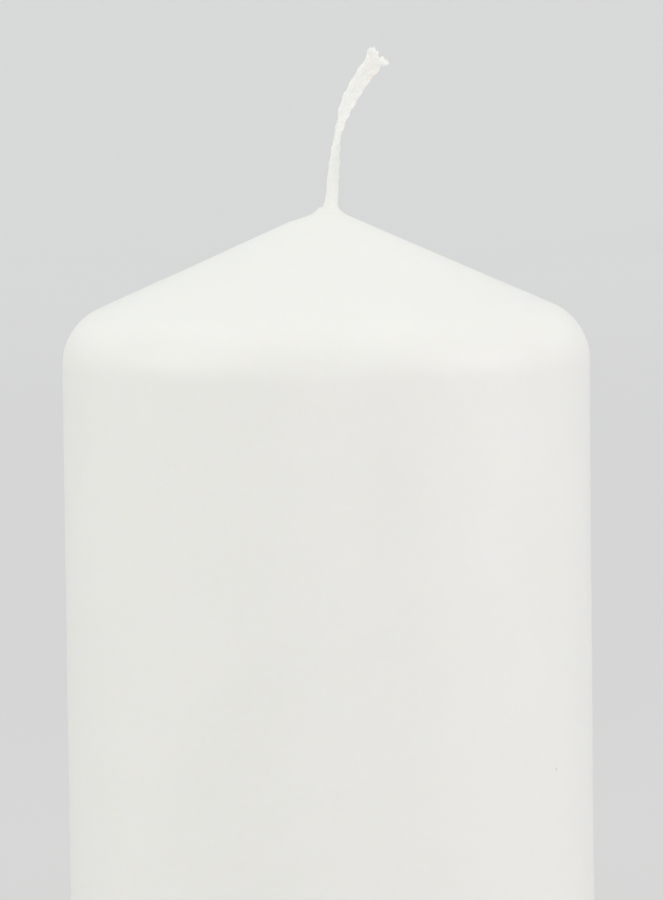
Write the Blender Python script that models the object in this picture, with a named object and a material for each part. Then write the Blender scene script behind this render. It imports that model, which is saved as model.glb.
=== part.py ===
"""Unity candle: a wax pillar with a conical top and an over-dipped skin, its flat wick and base fittings.

Metres, +Z up.  The origin is the centre of the foot that stands on the table.  The free end of the wick
leans to +X.

The candle is built from the inside out, as it is made.  Wax granules are pressed into a pillar with a
round channel down its axis.  The wick comes up the channel, crimped in a tinplate sustainer that seats in
the base.  Molten wax poured under the sustainer seals it in.  The pillar is then dipped in harder wax,
which sets as a skin and rises in a small collar round the wick.  A paper label goes in the shallow dish of
the base, clear of the table.
"""

import math

import bmesh
import bpy
from mathutils import Vector

MM = 0.001

# Driving dimensions of the wax.
DIAMETER = 76.2 * MM
WAX_HEIGHT = 228.6 * MM  # from the foot to the point where the cone's sides would meet
CONE_ANGLE = math.radians(24.1)  # slope of the conical top above the horizontal
SHOULDER_RADIUS = 8.6 * MM
SKIN = 1.5 * MM
GAP = 0.3 * MM  # left between pieces that touch on the real candle
FOOT_EDGE_RADIUS = 1.0 * MM
RADIUS = DIAMETER / 2
CORE_INSET = SKIN + GAP

# The wick, a flat braid, and the round channel that it runs in.
WICK_WIDTH = 2.6 * MM
WICK_THICKNESS = 1.1 * MM
CHANNEL_RADIUS = 2.3 * MM

# The base, from the table up.
DISH_RADIUS = 27.0 * MM
DISH_SLOPE = 0.6 * MM
DISH_ROOF = 0.9 * MM
LABEL_RADIUS = 25.0 * MM
LABEL_UNDERSIDE = 0.35 * MM
LABEL_THICKNESS = 0.2 * MM
POCKET_RADIUS = 10.6 * MM  # the pocket in the core for the sustainer and its seal
POCKET_ROOF = 3.7 * MM
SEAL_TOP = 2.4 * MM
SEAL_DISHING = 0.15 * MM
PLATE_RADIUS = 10.0 * MM
PLATE_UNDERSIDE = 2.7 * MM
TINPLATE = 0.35 * MM
BEAD_RADIUS = 6.5 * MM  # the stiffening bead pressed round the sustainer's plate
BEAD_WIDTH = 1.6 * MM
BEAD_HEIGHT = 0.3 * MM
NECK_TOP = 9.2 * MM
NECK_BORE = 2.0 * MM
NECK_FILLET = 0.5 * MM
NECK_POCKET_RADIUS = 2.75 * MM
NECK_POCKET_TOP = 9.6 * MM
CRIMP_START = 4.4 * MM  # the neck is round below this height and pinched flat on the wick above CRIMP_FULL
CRIMP_FULL = 6.0 * MM
WICK_FOOT = 2.9 * MM

# The collar of wax round the wick: (height above WAX_HEIGHT, how far it stands out from the wick).
COLLAR = [
    (-2.4 * MM, 2.2 * MM),
    (-1.3 * MM, 1.8 * MM),
    (-0.8 * MM, 1.2 * MM),
    (-0.4 * MM, 0.8 * MM),
    (-0.05 * MM, 0.55 * MM),
]
COLLAR_HOLE = (-4.0 * MM, 2.0 * MM)  # heights that the hole through the skin is cut between

# The wick's route above its foot: x, y and height above WAX_HEIGHT in millimetres, then the turn of its
# flat side in degrees, where 0 is flat towards -Y and 90 is edge on.
WICK_ROUTE = [
    (0.95, 0.00, -6.0, 58),
    (1.00, 0.00, -3.0, 58),
    (1.08, 0.00, 0.0, 58),
    (1.20, 0.00, 1.7, 58),
    (1.32, 0.00, 3.4, 58),
    (1.46, -0.02, 5.1, 60),
    (1.63, -0.05, 6.8, 67),
    (1.84, -0.10, 8.6, 79),
    (2.17, -0.16, 10.3, 92),
    (2.66, -0.24, 12.1, 108),
    (3.22, -0.34, 13.8, 132),
    (4.03, -0.45, 15.5, 148),
    (5.03, -0.57, 17.2, 160),
    (6.25, -0.70, 19.0, 173),
    (8.15, -0.88, 21.4, 182),
]

ROUND_STEPS = 72  # facets round the large turned pieces
SMALL_STEPS = 36
WICK_SIDES = 14
ROUTE_STEPS = 3  # stations for each stretch of the wick's route


def clear_scene():
    for obj in list(bpy.data.objects):
        bpy.data.objects.remove(obj)


def make_material(name, colour, roughness, metallic=0.0, subsurface=0.0):
    material = bpy.data.materials.new(name)
    material.use_nodes = True
    shader = material.node_tree.nodes["Principled BSDF"]
    shader.inputs["Base Color"].default_value = (*colour, 1.0)
    shader.inputs["Roughness"].default_value = roughness
    shader.inputs["Metallic"].default_value = metallic
    shader.inputs["Subsurface Weight"].default_value = subsurface
    shader.inputs["Subsurface Radius"].default_value = (1.0, 0.85, 0.65)
    shader.inputs["Subsurface Scale"].default_value = 2.0 * MM
    return material


def link_mesh(name, bm, material=None):
    """The bmesh as a new object, smooth where it is round and sharp at its corners."""
    bmesh.ops.recalc_face_normals(bm, faces=bm.faces)
    mesh = bpy.data.meshes.new(name)
    bm.to_mesh(mesh)
    bm.free()
    mesh.shade_smooth()
    mesh.set_sharp_from_angle(angle=math.radians(35))
    obj = bpy.data.objects.new(name, mesh)
    bpy.context.scene.collection.objects.link(obj)
    if material is not None:
        mesh.materials.append(material)
    return obj


def arc(centre, radius, start, end, steps):
    """Points (r, z) on an arc, with its angles in degrees from the horizontal."""
    points = []
    for i in range(steps + 1):
        angle = math.radians(start + (end - start) * i / steps)
        points.append((centre[0] + radius * math.cos(angle), centre[1] + radius * math.sin(angle)))
    return points


def turned(name, profile, material, steps, closed):
    """A piece turned about Z from its (r, z) profile.  An open profile starts and ends on the axis."""
    bm = bmesh.new()
    verts = [bm.verts.new((r, 0.0, z)) for r, z in profile]
    edges = [bm.edges.new(pair) for pair in zip(verts, verts[1:])]
    if closed:
        edges.append(bm.edges.new((verts[-1], verts[0])))
    bmesh.ops.spin(
        bm,
        geom=verts + edges,
        cent=(0, 0, 0),
        axis=(0, 0, 1),
        angle=2 * math.pi,
        steps=steps,
        use_merge=True,
    )
    bmesh.ops.remove_doubles(bm, verts=bm.verts, dist=0.001 * MM)
    return link_mesh(name, bm, material)


def cone_height(radius, inset):
    """Height of the conical top at a radius, on a surface this far under the outer one."""
    return WAX_HEIGHT - inset / math.cos(CONE_ANGLE) - radius * math.tan(CONE_ANGLE)


def shoulder(inset, steps):
    """The rounded shoulder from the cone down to the wall, on a surface this far under the outer one."""
    turn = math.pi / 2 - CONE_ANGLE
    centre = (
        RADIUS - SHOULDER_RADIUS,
        cone_height(RADIUS, 0.0) - SHOULDER_RADIUS * math.tan(turn / 2),
    )
    return arc(centre, SHOULDER_RADIUS - inset, math.degrees(turn), 0.0, steps)


def wick_stations():
    """(centre, turn in radians) on one smooth curve along the free wick and its last stretch in the wax."""
    knots = [Vector((x, y, z + WAX_HEIGHT / MM, turn)) for x, y, z, turn in WICK_ROUTE]
    ends = [2 * knots[0] - knots[1], *knots, 2 * knots[-1] - knots[-2]]
    stations = []
    for a, b, c, d in zip(ends, ends[1:], ends[2:], ends[3:]):
        for i in range(ROUTE_STEPS):
            t = i / ROUTE_STEPS
            bend = (2 * a - 5 * b + 4 * c - d) * t**2 + (3 * b - a - 3 * c + d) * t**3
            stations.append(0.5 * (2 * b + (c - a) * t + bend))
    stations.append(knots[-1])
    return [(Vector(s[:3]) * MM, math.radians(s[3])) for s in stations]


def wick_axes(centres, index, turn):
    """Unit vectors across the wick's flat side and through its thickness."""
    along = (centres[min(index + 1, len(centres) - 1)] - centres[max(index - 1, 0)]).normalized()
    side = Vector((0, 1, 0)).cross(along).normalized()
    depth = along.cross(side)
    wide = math.cos(turn) * side + math.sin(turn) * depth
    return wide, along.cross(wide)


def lofted(name, sections, material=None):
    """A closed solid through oval sections, each (centre, half width vector, half thickness vector)."""
    bm = bmesh.new()
    rings = []
    for centre, wide, thin in sections:
        ring = []
        for i in range(WICK_SIDES):
            angle = 2 * math.pi * i / WICK_SIDES
            ring.append(bm.verts.new(centre + math.cos(angle) * wide + math.sin(angle) * thin))
        rings.append(ring)
    for low, high in zip(rings, rings[1:]):
        for i in range(WICK_SIDES):
            j = (i + 1) % WICK_SIDES
            bm.faces.new((low[i], low[j], high[j], high[i]))
    bm.faces.new(rings[0])
    bm.faces.new(rings[-1])
    return link_mesh(name, bm, material)


def wick_sections(stations, grow):
    """Oval sections at these stations.  grow(index) is how far each stands out from the wick."""
    centres = [centre for centre, _ in stations]
    sections = []
    for i, (centre, turn) in enumerate(stations):
        wide, thin = wick_axes(centres, i, turn)
        extra = grow(i)
        sections.append((centre, wide * (WICK_WIDTH / 2 + extra), thin * (WICK_THICKNESS / 2 + extra)))
    return sections


def at_height(stations, height):
    """The station where the wick crosses a height above WAX_HEIGHT."""
    level = WAX_HEIGHT + height
    for (low, low_turn), (high, high_turn) in zip(stations, stations[1:]):
        if low.z <= level <= high.z:
            share = (level - low.z) / (high.z - low.z)
            return low.lerp(high, share), low_turn + share * (high_turn - low_turn)
    raise ValueError("the wick doesn't reach that height")


def as_helper(obj):
    obj.hide_render = True
    obj.display_type = "WIRE"
    return obj


def add_boolean(obj, name, operation, other):
    modifier = obj.modifiers.new(name, "BOOLEAN")
    modifier.operation = operation
    modifier.solver = "EXACT"
    modifier.object = other


def overdip_skin(material, stations):
    foot_edge = arc((RADIUS - FOOT_EDGE_RADIUS, FOOT_EDGE_RADIUS), FOOT_EDGE_RADIUS, 0.0, -90.0, 4)
    profile = [
        (0.0, cone_height(0.0, 0.0)),
        *shoulder(0.0, 12),
        *foot_edge,
        (RADIUS - SKIN, 0.0),
        *reversed(shoulder(SKIN, 9)),
        (0.0, cone_height(0.0, SKIN)),
    ]
    skin = turned("overdip_skin", profile, material, ROUND_STEPS, closed=False)
    levels = [at_height(stations, height) for height, _ in COLLAR]
    collar = lofted("collar_form", wick_sections(levels, lambda i: COLLAR[i][1]))
    hole_levels = [at_height(stations, height) for height in (COLLAR_HOLE[0], 0.0, COLLAR_HOLE[1])]
    hole = lofted("wick_hole_cutter", wick_sections(hole_levels, lambda i: GAP))
    add_boolean(skin, "collar", "UNION", as_helper(collar))
    add_boolean(skin, "wick_hole", "DIFFERENCE", as_helper(hole))


def wax_core(material):
    profile = [
        (CHANNEL_RADIUS, cone_height(CHANNEL_RADIUS, CORE_INSET)),
        *shoulder(CORE_INSET, 8),
        (RADIUS - CORE_INSET, 0.0),
        (DISH_RADIUS + DISH_SLOPE, 0.0),
        (DISH_RADIUS, DISH_ROOF),
        (POCKET_RADIUS, DISH_ROOF),
        (POCKET_RADIUS, POCKET_ROOF),
        (NECK_POCKET_RADIUS, POCKET_ROOF),
        (NECK_POCKET_RADIUS, NECK_POCKET_TOP),
        (CHANNEL_RADIUS, NECK_POCKET_TOP + NECK_POCKET_RADIUS - CHANNEL_RADIUS),
    ]
    turned("wax_core", profile, material, ROUND_STEPS, closed=True)


def wick(material, stations):
    foot_turn = stations[0][1]
    foot = [(Vector((0.0, 0.0, WICK_FOOT)), foot_turn), (Vector((0.0, 0.0, NECK_TOP)), foot_turn)]
    lofted("wick", wick_sections(foot + stations, lambda i: 0.0), material)


def bead(height_above, steps):
    """The pressed bead's (r, z) points across the plate, on its top or its underside."""
    points = []
    for i in range(steps + 1):
        across = -1 + 2 * i / steps
        rise = BEAD_HEIGHT * math.cos(across * math.pi / 2) ** 2
        points.append((BEAD_RADIUS + across * BEAD_WIDTH / 2, height_above + rise))
    return points


def wick_sustainer(material, turn):
    top = PLATE_UNDERSIDE + TINPLATE
    outer = NECK_BORE + TINPLATE
    profile = [
        (outer, NECK_TOP),
        (outer, CRIMP_FULL),
        (outer, CRIMP_START),
        *arc((outer + NECK_FILLET, top + NECK_FILLET), NECK_FILLET, 180.0, 270.0, 3),
        *bead(top, 6),
        (PLATE_RADIUS, top),
        (PLATE_RADIUS, PLATE_UNDERSIDE),
        *reversed(bead(PLATE_UNDERSIDE, 6)),
        (outer + NECK_FILLET, PLATE_UNDERSIDE),
        (NECK_BORE, top),
        (NECK_BORE, CRIMP_START),
        (NECK_BORE, CRIMP_FULL),
        (NECK_BORE, NECK_TOP),
    ]
    sustainer = turned("wick_sustainer", profile, material, SMALL_STEPS, closed=True)
    wide = Vector((math.cos(turn), math.sin(turn), 0.0))
    thin = Vector((-math.sin(turn), math.cos(turn), 0.0))
    for vertex in sustainer.data.vertices:
        pinch = min(max((vertex.co.z - CRIMP_START) / (CRIMP_FULL - CRIMP_START), 0.0), 1.0)
        if pinch == 0.0:
            continue
        wall = vertex.co.xy.length - NECK_BORE
        around = math.atan2(vertex.co.dot(thin), vertex.co.dot(wide))
        pinched = (
            wide * math.cos(around) * (WICK_WIDTH / 2 + GAP + wall)
            + thin * math.sin(around) * (WICK_THICKNESS / 2 + GAP + wall)
        )
        vertex.co.xy = vertex.co.xy.lerp(pinched.xy, pinch)


def base_seal(material):
    radius = POCKET_RADIUS - GAP
    profile = [(0.0, SEAL_TOP), (radius, SEAL_TOP), (radius, DISH_ROOF)]
    for i in range(1, 4):
        share = 1 - i / 3
        profile.append((radius * share, DISH_ROOF + SEAL_DISHING * (1 - share**2)))
    turned("base_seal", profile, material, SMALL_STEPS, closed=False)


def base_label(material):
    top = LABEL_UNDERSIDE + LABEL_THICKNESS
    profile = [(0.0, top), (LABEL_RADIUS, top), (LABEL_RADIUS, LABEL_UNDERSIDE), (0.0, LABEL_UNDERSIDE)]
    turned("base_label", profile, material, ROUND_STEPS, closed=False)


def main():
    clear_scene()
    skin_wax = make_material("skin_wax", (0.88, 0.87, 0.82), 0.42, subsurface=1.0)
    core_wax = make_material("core_wax", (0.86, 0.85, 0.80), 0.60, subsurface=1.0)
    cotton = make_material("waxed_cotton", (0.88, 0.87, 0.82), 0.70)
    tinplate = make_material("tinplate", (0.72, 0.72, 0.70), 0.32, metallic=1.0)
    paper = make_material("label_paper", (0.85, 0.85, 0.83), 0.80)
    stations = wick_stations()
    overdip_skin(skin_wax, stations)
    wax_core(core_wax)
    wick(cotton, stations)
    wick_sustainer(tinplate, stations[0][1])
    base_seal(core_wax)
    base_label(paper)


main()
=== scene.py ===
"""Looks of the unity candle: wax, braided wick and base fittings, on a pale studio sweep.

Metres, +Z up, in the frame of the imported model.
The viewer is at -Y and the free end of the wick leans to +X.
"""

import bisect
import math
import random

import bmesh
import bpy
import numpy
from mathutils import Matrix, Vector, noise


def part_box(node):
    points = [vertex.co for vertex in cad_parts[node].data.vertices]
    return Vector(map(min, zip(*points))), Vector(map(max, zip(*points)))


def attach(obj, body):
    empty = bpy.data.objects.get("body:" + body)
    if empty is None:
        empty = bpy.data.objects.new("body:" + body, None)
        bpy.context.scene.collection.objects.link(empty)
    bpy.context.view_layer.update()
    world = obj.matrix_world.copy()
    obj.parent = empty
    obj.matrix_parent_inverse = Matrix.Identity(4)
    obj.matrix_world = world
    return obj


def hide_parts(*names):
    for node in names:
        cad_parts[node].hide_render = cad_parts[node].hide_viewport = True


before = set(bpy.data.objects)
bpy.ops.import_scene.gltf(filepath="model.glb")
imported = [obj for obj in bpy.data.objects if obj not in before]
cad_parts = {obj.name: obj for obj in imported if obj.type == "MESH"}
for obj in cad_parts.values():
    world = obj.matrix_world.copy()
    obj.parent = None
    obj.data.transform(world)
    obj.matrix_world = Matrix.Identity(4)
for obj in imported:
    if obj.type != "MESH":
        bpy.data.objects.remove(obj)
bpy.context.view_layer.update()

MM = 0.001

# Sizes shared with the CAD.
FOOT_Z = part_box("overdip_skin")[0].z
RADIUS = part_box("overdip_skin")[1].x
WAX_HEIGHT = FOOT_Z + 228.6 * MM  # where the cone's sides would meet
CONE_ANGLE = math.radians(24.1)
SHOULDER_RADIUS = 8.6 * MM
SKIN = 1.5 * MM
FOOT_EDGE_RADIUS = 1.0 * MM
WICK_WIDTH = 2.6 * MM
WICK_THICKNESS = 1.1 * MM
WICK_FOOT_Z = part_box("wick")[0].z
NECK_TOP_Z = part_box("wick_sustainer")[1].z

# Worked out from them: the cone's slope, and the turn and centre of the shoulder's arc.
CONE_SLOPE = math.tan(CONE_ANGLE)
SHOULDER_TURN = math.pi / 2 - CONE_ANGLE
SHOULDER_R = RADIUS - SHOULDER_RADIUS
SHOULDER_Z = WAX_HEIGHT - RADIUS * CONE_SLOPE - SHOULDER_RADIUS * math.tan(SHOULDER_TURN / 2)

# The wick's route: x, y and height above WAX_HEIGHT in millimetres,
# then the turn of its flat side in degrees.
WICK_ROUTE = [
    (0.95, 0.00, -6.0, 58),
    (1.00, 0.00, -3.0, 58),
    (1.08, 0.00, 0.0, 58),
    (1.20, 0.00, 1.7, 58),
    (1.32, 0.00, 3.4, 58),
    (1.46, -0.02, 5.1, 60),
    (1.63, -0.05, 6.8, 67),
    (1.84, -0.10, 8.6, 79),
    (2.17, -0.16, 10.3, 92),
    (2.66, -0.24, 12.1, 108),
    (3.22, -0.34, 13.8, 132),
    (4.03, -0.45, 15.5, 148),
    (5.03, -0.57, 17.2, 160),
    (6.25, -0.70, 19.0, 173),
    (8.15, -0.88, 21.4, 182),
]

# How finely each stretch of the skin's mesh is divided.
COLUMNS = 288
COLLAR_STEPS = 44
CONE_STEPS = 36
SHOULDER_STEPS = 24
WALL_STEPS = 170
EDGE_STEPS = 8
INNER_WALL_STEPS = 13
INNER_SHOULDER_STEPS = 8
INNER_CONE_STEPS = 6

# The tip is uneven: a hollow beside the wick, and a droop of the whole side away from its lean.
TIP_ROUNDING = 0.5 * MM
HOLLOW_DEPTH = 0.34 * MM
HOLLOW_AT = 2.1 * MM
HOLLOW_SPREAD_IN = 1.3 * MM
HOLLOW_SPREAD_OUT = 2.0 * MM
DROOP_DEPTH = 0.12 * MM

# The collar: wax that climbs the wick all round, and a small lump of it that has set on one side.
COLLAR_REACH = 5.0 * MM  # the wax is a plain cone outside this radius
WAX_COAT = 0.13 * MM  # how thick the wax lies on the wick where it leaves the cone
FILM_HEIGHT = 0.45 * MM
FILM_REACH = 0.09 * MM
LIP_HEIGHT = 0.60 * MM
LIP_ANGLE = math.radians(-152)
LIP_WIDTH = 0.5  # radians
WICK_ROOT = (1.1 * MM, 0.0, WAX_HEIGHT)
UNDER_WICK = (0.3, 0.5, 0.7, 0.82, 0.90, 0.95)  # the rings that the wick covers, as shares of it
CROWDING = 2.4  # how much closer together the collar's rings are where the wax climbs

# How far the dipping has left the surface uneven, all over and in runs down the wall.
RIPPLE_DEPTH = 0.045 * MM
RUN_DEPTH = 0.02 * MM

# The plug of wax in the mouth of the channel:
# (depth under the tip, share of the way from the wick to COLLAR_REACH).
PLUG = [(4.4 * MM, 0.45), (4.4 * MM, 0.35), (5.5 * MM, 0.30), (8.0 * MM, 0.28), (8.3 * MM, 0.22)]
SOAKED_SHARE = 0.10  # the skin's wax runs into the wick up to this share of the wick's outline

# The plait.  A strand's place across the wick is a sine along it,
# and its place through it a sine of twice the rate.
PLAIT_PITCH = 6.2 * MM
PLAIT_ACROSS = 0.66 * MM
PLAIT_THROUGH = 0.14 * MM
YARNS = 7
YARN_RADIUS = 0.19 * MM
YARN_ACROSS = 0.44 * MM
YARN_THROUGH = 0.24 * MM
YARN_TWIST = 9.0 * MM
YARN_STEP = 0.16 * MM
YARN_SLUB = 0.10  # how much a yarn's thickness varies
YARN_TAPER = (0.40, 0.62, 0.80, 0.93)  # at its cut end, from the very end back
CREST_ACROSS = 0.09 * MM  # how far the yarns' crests stand out of the wax between them
CREST_THROUGH = 0.04 * MM
FUSE_SIZE = 0.06 * MM  # the yarns and the wax between them are fused this finely
HIDDEN_DEPTH = 2.5 * MM  # the plait has its full detail from this far under the tip
HIDDEN_OVERLAP = 0.4 * MM
HIDDEN_STRAND_RADIUS = 0.36 * MM

# The cut end, where the yarns part into a spur on one side and a tuft on the other.
FRAY_LENGTH = 1.25 * MM
FLARE_LENGTH = 4.5 * MM
FLARE = 0.14  # how much wider the plait is at its cut end
SPUR_REACH = -0.12 * MM
TUFT_REACH = 0.46 * MM
OPENING = 0.32  # how much the yarns of the cut end stand further apart
# Its outline, from the spur to the tuft: millimetres across the wick and past its end.
CUT_ACROSS = [-1.84, -0.48, 0.13, 0.73, 2.07]
CUT_PAST = [0.26, 0.42, -0.02, 0.68, 0.08]

# Loose fibres: those at the cut come first, and the rest are along the free length.
FIBRES = 26
CUT_FIBRES = 14
LOWEST_FIBRE = 9 * MM  # above the tip, where the cotton is dry
FIBRE_SHARES = (-0.3, 0.0, 0.25, 0.5, 0.75, 1.0)
FIBRE_RADII = [0.022 * MM] * 4 + [0.018 * MM, 0.010 * MM]

# The one dark speck in the wax, on the viewer's right.
SPECK_ANGLE = math.radians(57.3)
SPECK_PLACE = (RADIUS * math.sin(SPECK_ANGLE), -RADIUS * math.cos(SPECK_ANGLE), FOOT_Z + 149 * MM)

# The camera.
CAMERA_ELEVATION = math.radians(5.0)
CAMERA_DISTANCE = 0.893
CAMERA_AIM_Z = WAX_HEIGHT - 35.5 * MM
CAMERA_LENS = 246.7
CAMERA_ROLL = math.radians(0.69)
CAMERA_SHIFT_X = 0.0050

# The floor, in metres: the rings of its flat, how far out its wall starts to rise,
# and the radius of that curve.
SWEEP_RINGS = (0.0001, 0.3, 1.0, 2.0)
SWEEP_FLAT = 4.0
SWEEP_CURVE = 1.2
SWEEP_COLUMNS = 96
SWEEP_CURVE_STEPS = 24


# --------------------------------------------------------------------------------------------------
# Mesh helpers
# --------------------------------------------------------------------------------------------------

ASIDE = Vector((0.31, 0.95, 0.05))  # a direction that no tube runs in


def new_object(name, bm, material):
    """A smooth-shaded object of this mesh and material, which uses the mesh up."""
    mesh = bpy.data.meshes.new(name)
    bm.to_mesh(mesh)
    bm.free()
    mesh.shade_smooth()
    mesh.materials.append(material)
    obj = bpy.data.objects.new(name, mesh)
    bpy.context.scene.collection.objects.link(obj)
    return obj


def join_rings(bm, rings, around, closed_along):
    """Quads between neighbouring rings of points.  They face out of a tube whose rings go up."""
    verts = [[bm.verts.new(p) for p in ring] for ring in rings]
    pairs = list(zip(verts, verts[1:]))
    if closed_along:
        pairs.append((verts[-1], verts[0]))
    for low, high in pairs:
        for i in range(around):
            j = (i + 1) % around
            bm.faces.new((low[i], low[j], high[j], high[i]))
    return verts


def add_tube(bm, centres, radii, sides):
    """A round tube with flat ends through these centres."""
    rings = []
    for i, centre in enumerate(centres):
        along = (centres[min(i + 1, len(centres) - 1)] - centres[max(i - 1, 0)]).normalized()
        side = along.cross(ASIDE).normalized()
        other = along.cross(side)
        ring = []
        for k in range(sides):
            angle = 2 * math.pi * k / sides
            ring.append(centre + radii[i] * (math.cos(angle) * side + math.sin(angle) * other))
        rings.append(ring)
    verts = join_rings(bm, rings, sides, closed_along=False)
    bm.faces.new(list(reversed(verts[0])))
    bm.faces.new(verts[-1])


def smoothstep(t):
    """0 below 0, 1 above 1, and a smooth rise between."""
    t = min(max(t, 0.0), 1.0)
    return t * t * (3 - 2 * t)


# --------------------------------------------------------------------------------------------------
# The wick's line
# --------------------------------------------------------------------------------------------------


def spline(knots, steps):
    """Points on a smooth curve through these vectors."""
    ends = [2 * knots[0] - knots[1], *knots, 2 * knots[-1] - knots[-2]]
    points = []
    for a, b, c, d in zip(ends, ends[1:], ends[2:], ends[3:]):
        bend = 2 * a - 5 * b + 4 * c - d
        change = 3 * b - a - 3 * c + d
        for i in range(steps):
            t = i / steps
            points.append(0.5 * (2 * b + (c - a) * t + bend * t**2 + change * t**3))
    points.append(knots[-1])
    return points


class WickLine:
    """The wick's centre line, read by the distance along it from the cone's tip, negative below."""

    def __init__(self):
        knots = []
        for x, y, z, turn in WICK_ROUTE:
            knots.append(Vector((x * MM, y * MM, WAX_HEIGHT + z * MM, math.radians(turn))))
        foot_turn = knots[0][3]
        route = [Vector((0.0, 0.0, z, foot_turn)) for z in (WICK_FOOT_Z, NECK_TOP_Z)]
        route += spline(knots, 12)
        self.points = [Vector(p[:3]) for p in route]
        self.turns = [p[3] for p in route]
        marks = [0.0]
        for a, b in zip(self.points, self.points[1:]):
            marks.append(marks[-1] + (b - a).length)
        tip = next(m for m, p in zip(marks, self.points) if p.z >= WAX_HEIGHT)
        self.marks = [m - tip for m in marks]
        self.start = self.marks[0]
        self.end = self.marks[-1]

    def at(self, mark):
        """(centre, across the flat side, through the thickness) at a distance along the wick."""
        i = min(max(bisect.bisect_right(self.marks, mark) - 1, 0), len(self.marks) - 2)
        share = (mark - self.marks[i]) / (self.marks[i + 1] - self.marks[i])
        low, high = self.points[i], self.points[i + 1]
        turn = self.turns[i] + share * (self.turns[i + 1] - self.turns[i])
        before = (high - self.points[max(i - 1, 0)]).normalized()
        after = (self.points[min(i + 2, len(self.points) - 1)] - low).normalized()
        along = before.lerp(after, min(max(share, 0.0), 1.0)).normalized()
        side = Vector((0, 1, 0)).cross(along).normalized()
        depth = along.cross(side)
        wide = math.cos(turn) * side + math.sin(turn) * depth
        return low + (high - low) * share, wide, along.cross(wide)


# --------------------------------------------------------------------------------------------------
# Wax skin
# --------------------------------------------------------------------------------------------------


def wick_reach(angle, turn):
    """How far the wick's oval outline is from its centre, in this direction about Z."""
    return 1 / math.hypot(
        math.cos(angle - turn) / (WICK_WIDTH / 2),
        math.sin(angle - turn) / (WICK_THICKNESS / 2),
    )


def tip_sag(x, y):
    """How far the wax lies below the true cone, on the side away from the wick's lean."""
    r = math.hypot(x, y)
    away_side = ((1 - x / r) / 2) ** 1.5 if r > 0 else 0.0
    spread = HOLLOW_SPREAD_IN if r < HOLLOW_AT else HOLLOW_SPREAD_OUT
    hollow = HOLLOW_DEPTH * math.exp(-(((r - HOLLOW_AT) / spread) ** 2))
    hollow *= smoothstep((r - 0.5 * MM) / (0.8 * MM))
    droop = DROOP_DEPTH * smoothstep((r - 0.8 * MM) / MM)
    droop *= 1 - smoothstep((r - 18 * MM) / (12 * MM))
    return away_side * (hollow + droop)


def tip_height(x, y, centre, turn):
    """Height of the wax near the tip: the cone, rounded at its point, and what climbs the wick."""
    height = WAX_HEIGHT - CONE_SLOPE * math.hypot(x, y, TIP_ROUNDING) - tip_sag(x, y)
    angle = math.atan2(y - centre.y, x - centre.x)
    away = math.hypot(x - centre.x, y - centre.y) - wick_reach(angle, turn) - WAX_COAT
    lean_side = (1 + math.cos(angle)) / 2
    uneven = 1 + 0.25 * noise.noise(Vector((1.7 * math.cos(angle), 1.7 * math.sin(angle), 4.0)))
    near = max(away, -0.08 * MM)
    climb = (0.30 + 0.35 * lean_side) * MM * uneven * math.exp(-near / ((0.32 + 0.16 * lean_side) * MM))
    film = FILM_HEIGHT * uneven * math.exp(-near / FILM_REACH)
    off_lip = math.remainder(angle - LIP_ANGLE, 2 * math.pi)
    lip = LIP_HEIGHT * math.exp(-((off_lip / LIP_WIDTH) ** 2))
    lip *= 1 - smoothstep((near - 0.10 * MM) / (0.40 * MM))
    return height + climb + film + lip


def dip_ripple(point):
    """How far the dipped surface stands off its true shape: unevenness and faint runs."""
    broad = RIPPLE_DEPTH * noise.noise(point / (24 * MM))
    around = math.atan2(point.y, point.x)
    run_place = Vector((5 * math.cos(around), 5 * math.sin(around), point.z / (90 * MM)))
    return broad + RUN_DEPTH * noise.noise(run_place * 1.4)


def outer_profile():
    """(r, z, normal r, normal z) down the outside, from the cone at COLLAR_REACH to the rim."""
    tangent_r = SHOULDER_R + SHOULDER_RADIUS * math.cos(SHOULDER_TURN)
    profile = []
    for i in range(CONE_STEPS):
        r = COLLAR_REACH + (tangent_r - COLLAR_REACH) * i / CONE_STEPS
        profile.append((r, WAX_HEIGHT - r * CONE_SLOPE, math.sin(CONE_ANGLE), math.cos(CONE_ANGLE)))
    for i in range(SHOULDER_STEPS + 1):
        angle = SHOULDER_TURN * (1 - i / SHOULDER_STEPS)
        c, s = math.cos(angle), math.sin(angle)
        profile.append((SHOULDER_R + SHOULDER_RADIUS * c, SHOULDER_Z + SHOULDER_RADIUS * s, c, s))
    foot_z = FOOT_Z + FOOT_EDGE_RADIUS
    for i in range(1, WALL_STEPS):
        profile.append((RADIUS, SHOULDER_Z + (foot_z - SHOULDER_Z) * i / WALL_STEPS, 1.0, 0.0))
    for i in range(EDGE_STEPS + 1):
        angle = math.pi / 2 * i / EDGE_STEPS
        c, s = math.cos(angle), math.sin(angle)
        profile.append((RADIUS - FOOT_EDGE_RADIUS * (1 - c), foot_z - FOOT_EDGE_RADIUS * s, c, -s))
    profile.append((RADIUS - SKIN, FOOT_Z, 0.0, -1.0))
    return profile


def inner_profile():
    """(r, z) up the inside of the skin, from the rim to the hole for the wick."""
    radius = SHOULDER_RADIUS - SKIN
    profile = []
    for i in range(1, INNER_WALL_STEPS):
        profile.append((RADIUS - SKIN, FOOT_Z + (SHOULDER_Z - FOOT_Z) * i / INNER_WALL_STEPS))
    for i in range(INNER_SHOULDER_STEPS + 1):
        angle = SHOULDER_TURN * i / INNER_SHOULDER_STEPS
        profile.append((SHOULDER_R + radius * math.cos(angle), SHOULDER_Z + radius * math.sin(angle)))
    tangent_r = profile[-1][0]
    for i in range(1, INNER_CONE_STEPS + 1):
        r = tangent_r + (COLLAR_REACH - tangent_r) * i / INNER_CONE_STEPS
        profile.append((r, WAX_HEIGHT - SKIN / math.cos(CONE_ANGLE) - r * CONE_SLOPE))
    return profile


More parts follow.
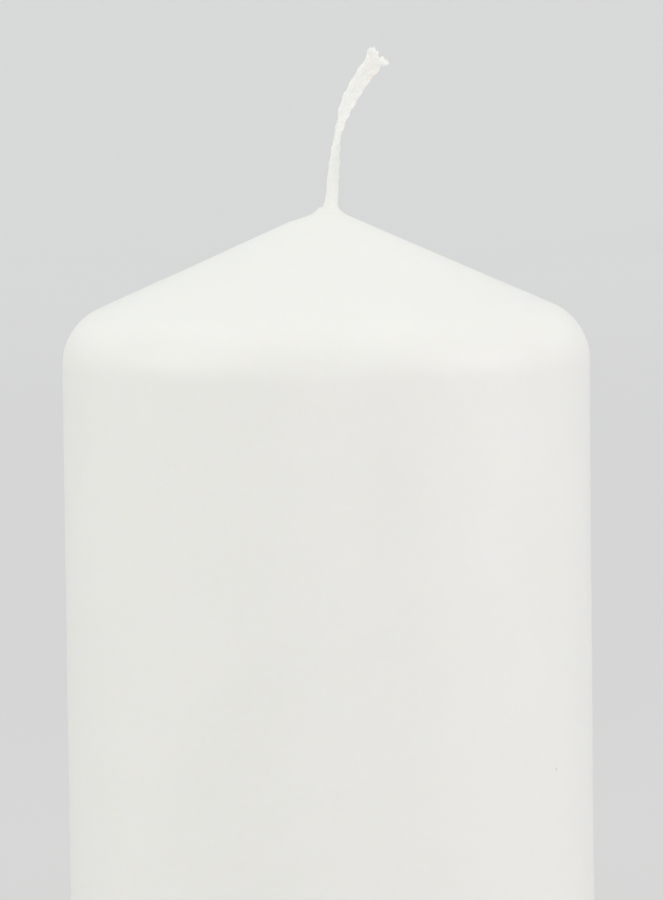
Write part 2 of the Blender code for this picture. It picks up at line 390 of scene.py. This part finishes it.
def collar_ring(angles, centre, turn, within, share):
    """(x, y) spots: the coated wick's outline times within, moved by share towards COLLAR_REACH."""
    spots = []
    for angle in angles:
        reach = within * (wick_reach(angle, turn) + WAX_COAT)
        near = Vector((centre.x + reach * math.cos(angle), centre.y + reach * math.sin(angle)))
        far = COLLAR_REACH * Vector((math.cos(angle), math.sin(angle)))
        spots.append(near.lerp(far, share))
    return spots


def collar_rings(angles, centre, turn):
    """The collar's rings from inside the wick to COLLAR_REACH, closest where the wax climbs."""
    rings = []
    for within in (SOAKED_SHARE, *UNDER_WICK):
        rings.append(collar_ring(angles, centre, turn, within, 0.0))
    for k in range(COLLAR_STEPS):
        rings.append(collar_ring(angles, centre, turn, 1.0, (k / COLLAR_STEPS) ** CROWDING))
    return [[Vector((x, y, tip_height(x, y, centre, turn))) for x, y in ring] for ring in rings]


def plug_rings(angles, centre, turn):
    """The rings of the plug under the tip, down to the wax that has run into the wick."""
    rings = []
    for depth, share in PLUG:
        spots = collar_ring(angles, centre, turn, 1.0, share)
        rings.append([Vector((x, y, WAX_HEIGHT - depth)) for x, y in spots])
    end = collar_ring(angles, centre, turn, SOAKED_SHARE, 0.0)
    rings.append([Vector((x, y, WAX_HEIGHT - PLUG[-1][0])) for x, y in end])
    return rings


def wax_skin(line):
    """The dipped wax, one closed mesh: over the tip, down the outside and back up the inside."""
    centre, wide, _ = line.at(0.0)
    turn = math.atan2(wide.y, wide.x)
    angles = [2 * math.pi * i / COLUMNS for i in range(COLUMNS)]
    rings = collar_rings(angles, centre, turn)
    for r, z, out, up in outer_profile():
        calm = smoothstep((z - FOOT_Z) / (6 * MM)) * smoothstep((r - COLLAR_REACH) / (8 * MM))
        ring = []
        for angle in angles:
            c, s = math.cos(angle), math.sin(angle)
            point = Vector((r * c, r * s, z))
            stand_off = calm * dip_ripple(point) * Vector((out * c, out * s, up))
            ring.append(point + stand_off - Vector((0, 0, tip_sag(point.x, point.y))))
        rings.append(ring)
    for r, z in inner_profile():
        rings.append([Vector((r * math.cos(a), r * math.sin(a), z)) for a in angles])
    rings += plug_rings(angles, centre, turn)
    rings.reverse()
    bm = bmesh.new()
    join_rings(bm, rings, COLUMNS, closed_along=True)
    skin = new_object("wax_skin", bm, dipped_wax())
    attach(skin, "root")
    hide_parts("overdip_skin")


# --------------------------------------------------------------------------------------------------
# Wick
# --------------------------------------------------------------------------------------------------


def strand_offset(from_end, strand):
    """Where a strand's centre is in the plait, (across, through), at this distance from the cut end."""
    turn = 2 * math.pi * (from_end / PLAIT_PITCH - 0.25 + strand / 3)
    return PLAIT_ACROSS * math.sin(turn), PLAIT_THROUGH * math.sin(2 * turn)


def splayed(from_end, across, strand):
    """The place across the wick once its end has opened: strand 0 is the spur, the rest the tuft."""
    flare = 1 + FLARE * smoothstep(1 + from_end / FLARE_LENGTH)
    part = smoothstep(1 + from_end / FRAY_LENGTH) ** 1.5
    reach = SPUR_REACH if strand == 0 else TUFT_REACH
    return across * flare * (1 + OPENING * part) + reach * part


def strand_points(line, strand, place, start, end, step):
    """Points along a yarn or a strand.  place(mark) is its (across, through) in its strand."""
    points = []
    mark = start
    while mark < end:
        centre, wide, thin = line.at(mark)
        from_end = mark - line.end
        across, through = strand_offset(from_end, strand)
        add_across, add_through = place(mark)
        across = splayed(from_end, across + add_across, strand)
        points.append(centre + wide * across + thin * (through + add_through))
        mark += step
    return points


def strand_heart(mark):
    """The middle of a strand, as a place for strand_points."""
    return 0.0, 0.0


def cut_mark(line, strand, across):
    """Where along the wick a strand has been cut, at this place across the strand."""
    strand_across, _ = strand_offset(0.0, strand)
    spot = splayed(0.0, strand_across + across, strand)
    return line.end + MM * numpy.interp(spot / MM, CUT_ACROSS, CUT_PAST)


def add_yarns(bm, line, rng):
    """The yarns of all three strands, which end unevenly at the cut."""
    for strand in range(3):
        for yarn in range(YARNS):

            def place(mark, yarn=yarn):
                turn = 2 * math.pi * (yarn / YARNS + mark / YARN_TWIST)
                return YARN_ACROSS * math.cos(turn), YARN_THROUGH * math.sin(turn)

            end = cut_mark(line, strand, place(line.end)[0]) + rng.uniform(-0.12, 0.04) * MM
            points = strand_points(line, strand, place, -HIDDEN_DEPTH, end, YARN_STEP)
            radii = []
            for i in range(len(points)):
                slub = 1 + YARN_SLUB * noise.noise(Vector((i * 0.11, strand * 7.0, yarn * 5.0)))
                radii.append(YARN_RADIUS * slub)
            for i, shrink in enumerate(YARN_TAPER):
                radii[-1 - i] *= shrink
            add_tube(bm, points, radii, 8)


def add_bar(bm, stations, sides):
    """A closed oval bar through stations of (centre, half width, half thickness, unevenness)."""
    rings = []
    for centre, wide, thin, unevenness in stations:
        ring = []
        for k in range(sides):
            angle = 2 * math.pi * k / sides
            about = Vector((0.7 * math.cos(angle), 0.7 * math.sin(angle), 0))
            lump = 1 + unevenness * noise.noise(centre / (0.9 * MM) + about)
            ring.append(centre + lump * (math.cos(angle) * wide + math.sin(angle) * thin))
        rings.append(ring)
    verts = join_rings(bm, rings, sides, closed_along=False)
    bm.faces.new(list(reversed(verts[0])))
    bm.faces.new(verts[-1])


def add_wax_filling(bm, line):
    """The wax that has soaked in: an oval bar just under the yarns' crests, thickest at the root."""
    stations = []
    mark = -HIDDEN_DEPTH
    while mark < line.end - 0.10 * MM:
        centre, wide, thin = line.at(mark)
        waxy = 1 - smoothstep((mark - 1.0 * MM) / (7 * MM))
        dry = smoothstep((mark - 9 * MM) / (9 * MM))
        flare = 1 + FLARE * smoothstep(1 + (mark - line.end) / FLARE_LENGTH)
        across = (WICK_WIDTH / 2 - CREST_ACROSS) * (1 - 0.05 * dry) * flare + WAX_COAT * waxy
        through = (WICK_THICKNESS / 2 - CREST_THROUGH) * (1 - 0.06 * dry) + WAX_COAT * waxy
        stations.append((centre, wide * across, thin * through, 0.05 * (1 - 0.85 * waxy)))
        mark += 0.2 * MM
    add_bar(bm, stations, 24)


def add_strand_hearts(bm, line):
    """The heart of each strand near the cut, which keeps its opened yarns together."""
    _, wide, thin = line.at(line.end)
    start = line.end - FLARE_LENGTH
    for strand in range(3):
        end = cut_mark(line, strand, 0.0) - 0.20 * MM
        points = strand_points(line, strand, strand_heart, start, end, 0.2 * MM)
        stations = []
        for i, point in enumerate(points):
            opened = 1 + OPENING * (i / len(points)) ** 2
            stations.append((point, wide * opened * 0.49 * MM, thin * 0.33 * MM, 0.08))
        stations[-1] = (points[-1], wide * 0.46 * MM, thin * 0.20 * MM, 0.08)
        add_bar(bm, stations, 16)


def add_hidden_plait(bm, line):
    """The plait inside the candle: a tube for each strand, up to where the detail starts."""
    end = -HIDDEN_DEPTH + HIDDEN_OVERLAP
    for strand in range(3):
        points = strand_points(line, strand, strand_heart, line.start, end, 0.6 * MM)
        add_tube(bm, points, [HIDDEN_STRAND_RADIUS] * len(points), 10)


def settled_mesh(obj):
    """The mesh of an object after its modifiers."""
    depsgraph = bpy.context.evaluated_depsgraph_get()
    return bpy.data.meshes.new_from_object(obj.evaluated_get(depsgraph))


def waxed_wick(line):
    """The braid: yarns and wax fused to one skin, then the plain plait below it."""
    rng = random.Random(11)
    bm = bmesh.new()
    add_yarns(bm, line, rng)
    add_wax_filling(bm, line)
    add_strand_hearts(bm, line)
    cotton = waxed_cotton()
    raw = new_object("raw_plait", bm, cotton)
    fuse = raw.modifiers.new("fuse", "REMESH")
    fuse.mode = "VOXEL"
    fuse.voxel_size = FUSE_SIZE
    settle = raw.modifiers.new("settle", "SMOOTH")
    settle.factor = 0.5
    settle.iterations = 3
    bm = bmesh.new()
    bm.from_mesh(settled_mesh(raw))
    bpy.data.objects.remove(raw)
    add_hidden_plait(bm, line)
    wick = new_object("braided_wick", bm, cotton)
    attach(wick, "root")
    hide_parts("wick")


def loose_fibres(line):
    """Fine cotton hairs that stand out of the cut end and, a few, along the free length."""
    rng = random.Random(5)
    bm = bmesh.new()
    for i in range(FIBRES):
        at_cut = i < CUT_FIBRES
        mark = line.end - rng.uniform(0.0, 0.5) * MM if at_cut else rng.uniform(LOWEST_FIBRE, line.end)
        centre, wide, thin = line.at(mark)
        along = wide.cross(thin)
        side = rng.choice((-1, 1))
        start = centre + wide * side * rng.uniform(0.75, 1.25) * MM + thin * rng.uniform(-0.3, 0.3) * MM
        heading = along * (1.0 if at_cut else 0.7)
        heading += wide * side * rng.uniform(0.3, 0.9)
        heading += thin * rng.uniform(-0.6, 0.6)
        heading.normalize()
        bend = Vector((rng.uniform(-1, 1), rng.uniform(-1, 1), rng.uniform(-1, 1))) * 0.25
        length = rng.uniform(0.5, 1.2) * MM if at_cut else rng.uniform(0.3, 0.7) * MM
        points = [start + heading * length * t + bend * length * t * t for t in FIBRE_SHARES]
        add_tube(bm, points, FIBRE_RADII, 5)
    fibres = new_object("loose_fibres", bm, cotton_hair())
    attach(fibres, "root")


# --------------------------------------------------------------------------------------------------
# Materials
# --------------------------------------------------------------------------------------------------


class Finish:
    """One procedural material.  Its fields turn places on the object into values from 0 to 1."""

    def __init__(self, name):
        self.material = bpy.data.materials.new(name)
        self.material.use_nodes = True
        self.tree = self.material.node_tree
        self.shader = self.tree.nodes["Principled BSDF"]
        self.place = self.add("TexCoord").outputs["Object"]
        self.height = None

    def add(self, kind, **settings):
        node = self.tree.nodes.new("ShaderNode" + kind)
        for name, value in settings.items():
            setattr(node, name, value)
        return node

    def link(self, output, node, socket):
        self.tree.links.new(output, node.inputs[socket])

    def scaled_place(self, size, stretch=(1, 1, 1)):
        """The place in units of this size, which is longer by stretch along each axis."""
        mapping = self.add("Mapping")
        mapping.inputs["Scale"].default_value = [1 / (size * s) for s in stretch]
        self.link(self.place, mapping, "Vector")
        return mapping.outputs["Vector"]

    def clouds(self, size, detail=2.0, stretch=(1, 1, 1)):
        field = self.add("TexNoise")
        field.inputs["Scale"].default_value = 1.0
        field.inputs["Detail"].default_value = detail
        self.link(self.scaled_place(size, stretch), field, "Vector")
        return field.outputs["Fac"]

    def cells(self, size, feature="F1", output="Distance"):
        field = self.add("TexVoronoi", feature=feature)
        field.inputs["Scale"].default_value = 1.0
        self.link(self.scaled_place(size), field, "Vector")
        return field.outputs[output]

    def height_share(self, low, high):
        """0 below the height low and 1 above the height high."""
        split = self.add("SeparateXYZ")
        self.link(self.place, split, "Vector")
        return self.ramp(split.outputs["Z"], low, high)

    def distance_from(self, point):
        gap = self.add("VectorMath", operation="DISTANCE")
        gap.inputs[1].default_value = point
        self.link(self.place, gap, 0)
        return gap.outputs["Value"]

    def ramp(self, value, low, high, to_low=0.0, to_high=1.0):
        node = self.add("MapRange", interpolation_type="SMOOTHSTEP")
        node.inputs["From Min"].default_value = low
        node.inputs["From Max"].default_value = high
        node.inputs["To Min"].default_value = to_low
        node.inputs["To Max"].default_value = to_high
        self.link(value, node, "Value")
        return node.outputs["Result"]

    def times(self, first, second):
        node = self.add("Math", operation="MULTIPLY")
        self.link(first, node, 0)
        self.link(second, node, 1)
        return node.outputs["Value"]

    def blend(self, share, first, second):
        """A colour between two, each a colour or another blend."""
        node = self.add("Mix", data_type="RGBA")
        self.link(share, node, "Factor")
        for socket, colour in ((node.inputs[6], first), (node.inputs[7], second)):
            if isinstance(colour, tuple):
                socket.default_value = (*colour, 1.0)
            else:
                self.tree.links.new(colour, socket)
        return node.outputs[2]

    def colour(self, output):
        self.link(output, self.shader, "Base Color")

    def roughness(self, output):
        self.link(output, self.shader, "Roughness")

    def relief(self, value, depth):
        """Adds relief of this depth, in metres, on top of what is there."""
        bump = self.add("Bump")
        bump.inputs["Distance"].default_value = depth
        self.link(value, bump, "Height")
        if self.height is not None:
            self.link(self.height, bump, "Normal")
        self.height = bump.outputs["Normal"]
        self.link(self.height, self.shader, "Normal")

    def translucent(self, radius, scale, share=None):
        """Light spreads under the surface, everywhere or only by this share."""
        self.shader.inputs["Subsurface Weight"].default_value = 1.0
        self.shader.inputs["Subsurface Radius"].default_value = radius
        self.shader.inputs["Subsurface Scale"].default_value = scale
        if share is not None:
            self.link(share, self.shader, "Subsurface Weight")


def dipped_wax():
    """Hard white over-dip: satin, faintly cloudy, with bubbles, pinholes and one dark speck."""
    wax = Finish("dipped_wax")
    cloud = wax.ramp(wax.clouds(16 * MM, 3.0), 0.30, 0.70)
    body = wax.blend(cloud, (0.887, 0.885, 0.855), (0.899, 0.895, 0.867))
    crystals = wax.ramp(wax.clouds(1.1 * MM, 4.0), 0.52, 0.72, 0.0, 0.35)
    body = wax.blend(crystals, body, (0.915, 0.912, 0.890))
    bubbles = wax.ramp(wax.cells(13 * MM), 0.010, 0.022, 0.8, 0.0)
    body = wax.blend(bubbles, body, (0.955, 0.955, 0.945))
    speck = wax.ramp(wax.distance_from(SPECK_PLACE), 0.12 * MM, 0.30 * MM, 0.42, 0.0)
    wax.colour(wax.blend(speck, body, (0.50, 0.47, 0.36)))
    wax.roughness(wax.ramp(wax.clouds(9 * MM, 4.0, (1, 1, 2.5)), 0.25, 0.75, 0.30, 0.37))
    wax.relief(wax.clouds(3.5 * MM, 2.0, (1, 1, 1.6)), 0.016 * MM)
    wax.relief(wax.clouds(0.35 * MM, 3.0), 0.003 * MM)
    pinholes = wax.ramp(wax.cells(4.2 * MM), 0.015, 0.035)
    wax.relief(pinholes, 0.05 * MM)
    # Next to the wick the light would be lost on wax that the wick covers.
    off_wick = wax.ramp(wax.distance_from(WICK_ROOT), 2.0 * MM, 6.5 * MM)
    wax.translucent((1.0, 0.93, 0.82), 1.1 * MM, off_wick)
    return wax.material


def waxed_cotton():
    """Bleached cotton braid: coated with wax at its root, greyer above, dry and white at its end."""
    cotton = Finish("waxed_cotton")
    dry = cotton.height_share(WAX_HEIGHT + 5 * MM, WAX_HEIGHT + 15 * MM)
    soaked = cotton.height_share(WAX_HEIGHT + 1 * MM, WAX_HEIGHT + 5 * MM)
    body = cotton.blend(soaked, (0.900, 0.900, 0.875), (0.850, 0.862, 0.836))
    body = cotton.blend(dry, body, (0.908, 0.910, 0.888))
    blotch = cotton.ramp(cotton.clouds(0.9 * MM, 3.0), 0.45, 0.75, 0.0, 0.5)
    cotton.colour(cotton.blend(blotch, body, (0.865, 0.865, 0.830)))
    cotton.roughness(cotton.ramp(dry, 0.0, 1.0, 0.42, 0.72))
    cotton.relief(cotton.clouds(0.055 * MM, 2.0, (1, 1, 9)), 0.010 * MM)
    cotton.relief(cotton.clouds(0.30 * MM, 2.0, (1, 1, 2)), 0.012 * MM)
    cotton.translucent((1.0, 0.9, 0.8), 0.40 * MM, soaked)
    return cotton.material


def cotton_hair():
    """Single bleached fibres: white, a little darker in places where wax clings to them."""
    hair = Finish("cotton_hair")
    waxed = hair.ramp(hair.clouds(0.3 * MM, 2.0), 0.4, 0.7)
    hair.colour(hair.blend(waxed, (0.93, 0.93, 0.91), (0.87, 0.87, 0.84)))
    hair.roughness(hair.ramp(waxed, 0.0, 1.0, 0.75, 0.50))
    return hair.material


def pressed_wax():
    """Paraffin granules pressed into a block: each its own shade, with fine seams between them."""
    wax = Finish("pressed_wax")
    shades = wax.add("SeparateColor")
    wax.link(wax.cells(2.0 * MM, output="Color"), shades, "Color")
    body = wax.blend(shades.outputs["Red"], (0.865, 0.855, 0.815), (0.900, 0.893, 0.862))
    seams = wax.cells(2.0 * MM, "DISTANCE_TO_EDGE")
    wax.colour(wax.blend(wax.ramp(seams, 0.0, 0.10, 0.6, 0.0), body, (0.80, 0.79, 0.74)))
    wax.roughness(wax.ramp(wax.clouds(2.5 * MM, 3.0), 0.3, 0.7, 0.48, 0.66))
    wax.relief(wax.ramp(seams, 0.0, 0.16), 0.08 * MM)
    wax.relief(wax.clouds(0.4 * MM, 3.0), 0.01 * MM)
    wax.translucent((1.0, 0.85, 0.65), 1.2 * MM)
    return wax.material


def poured_wax():
    """Wax that was poured and left to set: smooth and a little clearer, with a few small bubbles."""
    wax = Finish("poured_wax")
    cloud = wax.ramp(wax.clouds(5 * MM, 3.0), 0.3, 0.7)
    body = wax.blend(cloud, (0.865, 0.860, 0.815), (0.895, 0.890, 0.850))
    bubbles = wax.ramp(wax.cells(2.6 * MM), 0.06, 0.10)
    wax.colour(wax.blend(bubbles, (0.82, 0.81, 0.76), body))
    wax.roughness(wax.ramp(wax.clouds(3 * MM, 2.0), 0.3, 0.7, 0.29, 0.36))
    wax.relief(bubbles, 0.06 * MM)
    wax.relief(wax.clouds(4 * MM, 1.0), 0.05 * MM)
    wax.translucent((1.0, 0.85, 0.65), 1.6 * MM)
    return wax.material


def pressed_tinplate():
    """Bright tinplate: rolling lines one way, faint crystals in the tin and a haze of wax."""
    tin = Finish("pressed_tinplate")
    tin.shader.inputs["Metallic"].default_value = 1.0
    spangle = tin.add("SeparateColor")
    tin.link(tin.cells(1.8 * MM, output="Color"), spangle, "Color")
    haze = tin.ramp(tin.clouds(4 * MM, 3.0), 0.35, 0.70)
    body = tin.blend(spangle.outputs["Red"], (0.70, 0.70, 0.69), (0.77, 0.77, 0.76))
    tin.colour(tin.blend(haze, body, (0.79, 0.785, 0.76)))
    rolling = tin.clouds(0.06 * MM, 2.0, (60, 1, 1))
    tin.roughness(tin.ramp(rolling, 0.3, 0.7, 0.29, 0.44))
    tin.relief(rolling, 0.002 * MM)
    return tin.material


def label_paper():
    """Uncoated white paper with nothing on it: loose fibres, a slight tooth and a waxed edge."""
    paper = Finish("label_paper")
    fibres = paper.ramp(paper.clouds(0.12 * MM, 3.0, (1, 4, 1)), 0.4, 0.7)
    flocs = paper.ramp(paper.clouds(2.2 * MM, 3.0), 0.35, 0.65)
    body = paper.blend(flocs, (0.850, 0.850, 0.832), (0.880, 0.880, 0.864))
    body = paper.blend(paper.times(fibres, flocs), body, (0.905, 0.905, 0.892))
    low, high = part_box("base_label")
    centre = (0.0, 0.0, (low.z + high.z) / 2)
    waxed = paper.ramp(paper.distance_from(centre), high.x - 2.5 * MM, high.x)
    paper.colour(paper.blend(waxed, body, (0.80, 0.795, 0.765)))
    paper.roughness(paper.ramp(waxed, 0.0, 1.0, 0.86, 0.55))
    paper.relief(fibres, 0.008 * MM)
    return paper.material


def paper_sweep():
    """Matt studio paper, darker around the candle with painted shade and a little lighter far from the
    candle.
    """
    sweep = Finish("paper_sweep")
    distance = sweep.distance_from((0.0, 0.0, FOOT_Z))
    # Painted shade: the paper is darker near the candle's foot, which also takes bounce light off the
    # candle's lower wall.
    body = sweep.blend(sweep.ramp(distance, 0.25, 0.95), (0.660, 0.650, 0.660), (0.749, 0.743, 0.753))
    body = sweep.blend(sweep.ramp(distance, 0.9, 4.5), body, (0.828, 0.823, 0.836))
    cloud = sweep.ramp(sweep.clouds(0.35, 3.0), 0.3, 0.7, 0.0, 0.10)
    sweep.colour(sweep.blend(cloud, body, (0.76, 0.745, 0.755)))
    sweep.relief(sweep.clouds(0.6 * MM, 3.0), 0.02 * MM)
    sweep.shader.inputs["Roughness"].default_value = 1.0
    sweep.shader.inputs["Specular IOR Level"].default_value = 0.0
    return sweep.material


def finish_cad_node(name, material):
    """Gives a carried-over CAD node its material."""
    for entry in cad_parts[name].material_slots:
        entry.material = material


# --------------------------------------------------------------------------------------------------
# Camera, light and stage
# --------------------------------------------------------------------------------------------------


def add_camera():
    """A long lens from a little above the candle's top, with a slight roll, as in the photograph."""
    data = bpy.data.cameras.new("camera")
    data.lens = CAMERA_LENS
    data.sensor_width = 36.0
    data.shift_x = CAMERA_SHIFT_X
    data.clip_end = 40.0
    camera = bpy.data.objects.new("camera", data)
    bpy.context.scene.collection.objects.link(camera)
    aim = Vector((0.0, 0.0, CAMERA_AIM_Z))
    back = Vector((0.0, -math.cos(CAMERA_ELEVATION), math.sin(CAMERA_ELEVATION)))
    turn = (-back).to_track_quat("-Z", "Y").to_matrix().to_4x4()
    roll = Matrix.Rotation(-CAMERA_ROLL, 4, "Z")
    camera.matrix_world = Matrix.Translation(aim + back * CAMERA_DISTANCE) @ turn @ roll
    bpy.context.scene.camera = camera


def add_softbox(name, place, aim, size, power, colour):
    """A rectangular light, in metres and watts, that shines from place towards aim."""
    data = bpy.data.lights.new(name, "AREA")
    data.shape = "RECTANGLE"
    data.size, data.size_y = size
    data.energy = power
    data.color = colour
    light = bpy.data.objects.new(name, data)
    bpy.context.scene.collection.objects.link(light)
    light.location = place
    light.rotation_euler = (Vector(aim) - Vector(place)).to_track_quat("-Z", "Y").to_euler()
    light.visible_camera = False


def add_world(colour, strength):
    world = bpy.data.worlds.new("studio")
    bpy.context.scene.world = world
    world.use_nodes = True
    background = world.node_tree.nodes["Background"]
    background.inputs["Color"].default_value = (*colour, 1.0)
    background.inputs["Strength"].default_value = strength


def add_lights():
    """Even light from all round, with soft lights above, to the right, to the left and in front."""
    add_world((0.985, 1.003, 0.982), 0.872)
    add_softbox("overhead", (-0.75, 0.15, 1.45), (0, 0, 0.2), (1.2, 0.3), 0.45, (1.0, 1.0, 1.0))
    add_softbox("right", (1.65, -0.5, 0.75), (0, 0, 0.9), (1.3, 1.3), 5.9, (1.05, 0.98, 0.97))
    add_softbox("left", (-1.0, -0.45, 0.75), (0, 0, 1.0), (0.9, 0.9), 2.2, (1.03, 1.03, 0.90))
    add_softbox("front", (-0.1, -1.9, 0.42), (0, 0, 0.6), (1.3, 0.8), 2.7, (1.05, 0.95, 1.02))


def add_sweep():
    """The pale floor, which curves up into a low wall all round, far from the candle."""
    profile = [(r, FOOT_Z) for r in SWEEP_RINGS]
    for i in range(SWEEP_CURVE_STEPS + 1):
        angle = math.pi / 2 * i / SWEEP_CURVE_STEPS
        r = SWEEP_FLAT + SWEEP_CURVE * math.sin(angle)
        profile.append((r, FOOT_Z + SWEEP_CURVE * (1 - math.cos(angle))))
    turns = [2 * math.pi * i / SWEEP_COLUMNS for i in range(SWEEP_COLUMNS)]
    rings = []
    for r, z in profile:
        rings.append([(r * math.cos(turn), r * math.sin(turn), z) for turn in turns])
    bm = bmesh.new()
    join_rings(bm, rings, SWEEP_COLUMNS, closed_along=False)
    sweep = new_object("studio_sweep", bm, paper_sweep())


def main():
    add_camera()
    add_lights()
    add_sweep()
    bpy.context.scene.view_settings.view_transform = "Standard"
    line = WickLine()
    wax_skin(line)
    waxed_wick(line)
    loose_fibres(line)
    finish_cad_node("wax_core", pressed_wax())
    finish_cad_node("base_seal", poured_wax())
    finish_cad_node("wick_sustainer", pressed_tinplate())
    finish_cad_node("base_label", label_paper())


main()
